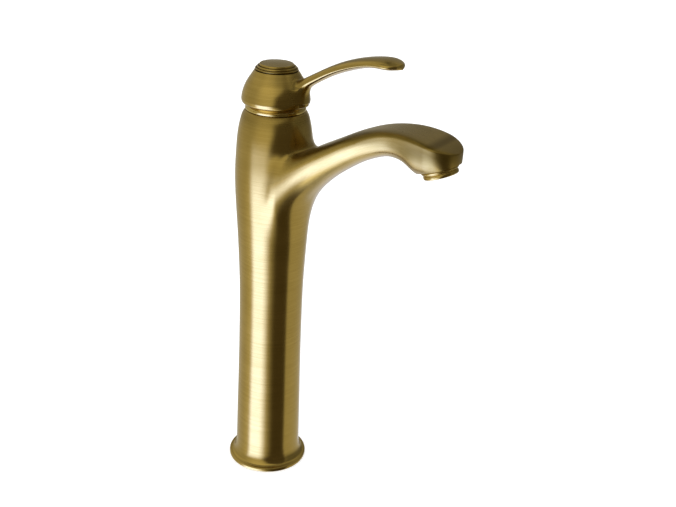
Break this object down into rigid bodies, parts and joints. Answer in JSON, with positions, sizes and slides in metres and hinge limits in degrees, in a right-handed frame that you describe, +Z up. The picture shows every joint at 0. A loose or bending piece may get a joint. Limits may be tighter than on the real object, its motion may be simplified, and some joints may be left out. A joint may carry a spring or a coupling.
{
  "type": "bathroom mixer faucet",
  "caption": "Tall single-lever basin mixer faucet with a waisted column, arched spout, domed hub and paddle lever, in brushed antique brass.",
  "frame": {"origin": "on the column's axis, in the plane of the foot that stands on the deck", "axes": "+Z up along the column, the spout and the lever reach out along -Y, the part is symmetric about X = 0"},
  "size_m": [0.0572, 0.1639, 0.3167],
  "materials": {
    "antique_brass": "fine-brushed antique bronze brass, lacquered",
    "polished_brass": "polished warm brass",
    "raw_brass": "turned, unplated",
    "steel": "stainless, machined",
    "white_acetal": "moulded",
    "grey_acetal": "moulded",
    "red_acetal": "moulded",
    "alumina": "lapped ceramic",
    "black_rubber": "moulded"
  },
  "bodies": {
    "root": {"body_casting": "antique_brass", "cartridge_seat": "raw_brass", "base_plug": "raw_brass", "base_gasket": "black_rubber", "dome_ring": "polished_brass", "retaining_nut": "raw_brass", "cartridge_housing": "white_acetal", "cartridge_base": "white_acetal", "seal_cold": "black_rubber", "seal_hot": "black_rubber", "seal_outlet": "black_rubber", "fixed_disc": "alumina", "limit_ring": "red_acetal", "aerator_housing": "antique_brass", "aerator_insert": "grey_acetal", "aerator_screen": "steel", "aerator_washer": "black_rubber"},
    "carrier": {"stem_carrier": "grey_acetal", "stem_pin": "steel", "carrier_o_ring": "black_rubber"},
    "handle_assembly": {"handle": "antique_brass", "control_stem": "steel", "stem_bush": "white_acetal", "handle_screw": "steel", "handle_cap": "antique_brass", "cap_o_ring": "black_rubber"},
    "mixing_disc": {"disc_driver": "grey_acetal", "moving_disc": "alumina"}
  },
  "joints": [
    {"name": "handle_swivel", "type": "hinge", "parent": "root", "child": "carrier", "pos_m": [0, 0, 0.258], "axis": [0, 0, 1], "range_deg": [-50, 50]},
    {"name": "handle_lift", "type": "hinge", "parent": "carrier", "child": "handle_assembly", "pos_m": [0, 0, 0.258], "axis": [-1, 0, 0], "range_deg": [0, 20]},
    {"name": "disc_slide", "type": "slide", "parent": "carrier", "child": "mixing_disc", "axis": [0, -1, 0], "range_m": [0, 0.0036]}
  ],
  "couplings": [
    {"joint": "disc_slide", "follows": "handle_lift", "m_per_rad": 0.01}
  ]
}
